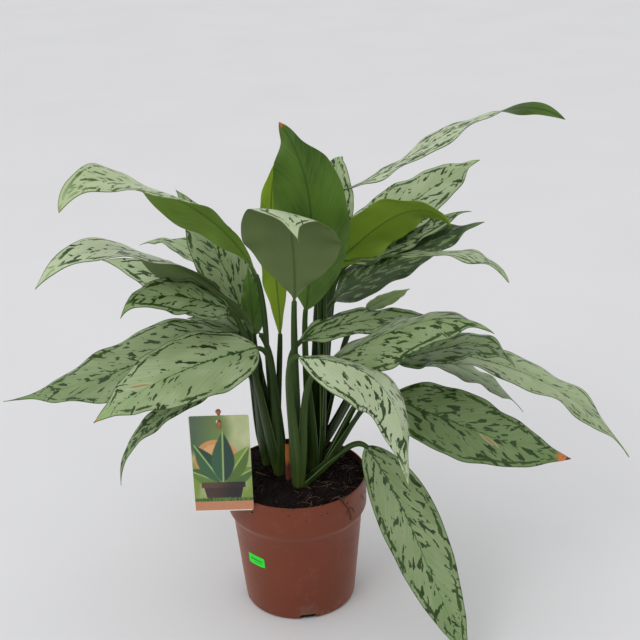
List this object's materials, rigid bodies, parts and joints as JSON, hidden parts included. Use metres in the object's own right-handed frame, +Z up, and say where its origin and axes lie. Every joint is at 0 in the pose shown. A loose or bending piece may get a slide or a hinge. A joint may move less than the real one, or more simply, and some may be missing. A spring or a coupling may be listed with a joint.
{
  "type": "potted chinese evergreen",
  "caption": "Upright leafy house plant in a round plastic nursery pot filled with soil, with a plant tag on a stake and a price label.",
  "frame": {"origin": "middle of the pot's flat underside, on the surface it stands on", "axes": "+Z up, -Y towards the front where the plant tag stands at the left, +X to the right"},
  "size_m": [0.7397, 0.369, 0.6159],
  "materials": {
    "pot_plastic": "terracotta-coloured moulded plastic, slightly glossy",
    "soil": "dark damp peat with root fibres",
    "stalk": "smooth green stalk, slightly waxy",
    "leaf": "satin silver-green with dark green blotches, plain green below",
    "dry_sheath": "withered, orange-brown, matt",
    "tag_card": "printed glossy card",
    "tag_stake": "orange-brown moulded plastic",
    "label_paper": "bright green sticker paper"
  },
  "bodies": {
    "root": {"pot": "pot_plastic", "soil": "soil", "stem_back_left": "stalk", "stem_left": "stalk", "stem_front": "stalk", "stem_right": "stalk", "stem_back_right": "stalk", "leaf_left_01": "leaf", "leaf_left_02": "leaf", "leaf_left_03": "leaf", "leaf_left_04": "leaf", "leaf_left_05": "leaf", "leaf_left_06": "leaf", "leaf_left_07": "leaf", "leaf_left_08": "leaf", "leaf_left_09": "leaf", "leaf_left_10": "leaf", "leaf_top_01": "leaf", "leaf_top_02": "leaf", "leaf_top_03": "leaf", "leaf_top_04": "leaf", "leaf_top_05": "leaf", "leaf_top_06": "leaf", "leaf_top_07": "leaf", "leaf_top_08": "leaf", "leaf_top_09": "leaf", "leaf_top_10": "leaf", "leaf_top_11": "leaf", "leaf_top_12": "leaf", "leaf_right_01": "leaf", "leaf_right_02": "leaf", "leaf_right_03": "leaf", "leaf_right_04": "leaf", "leaf_right_05": "leaf", "leaf_right_06": "leaf", "leaf_right_07": "leaf", "leaf_right_08": "leaf", "dry_sheath": "dry_sheath", "plant_tag": "tag_card", "tag_holder": "tag_stake", "price_label": "label_paper"}
  },
  "joints": []
}
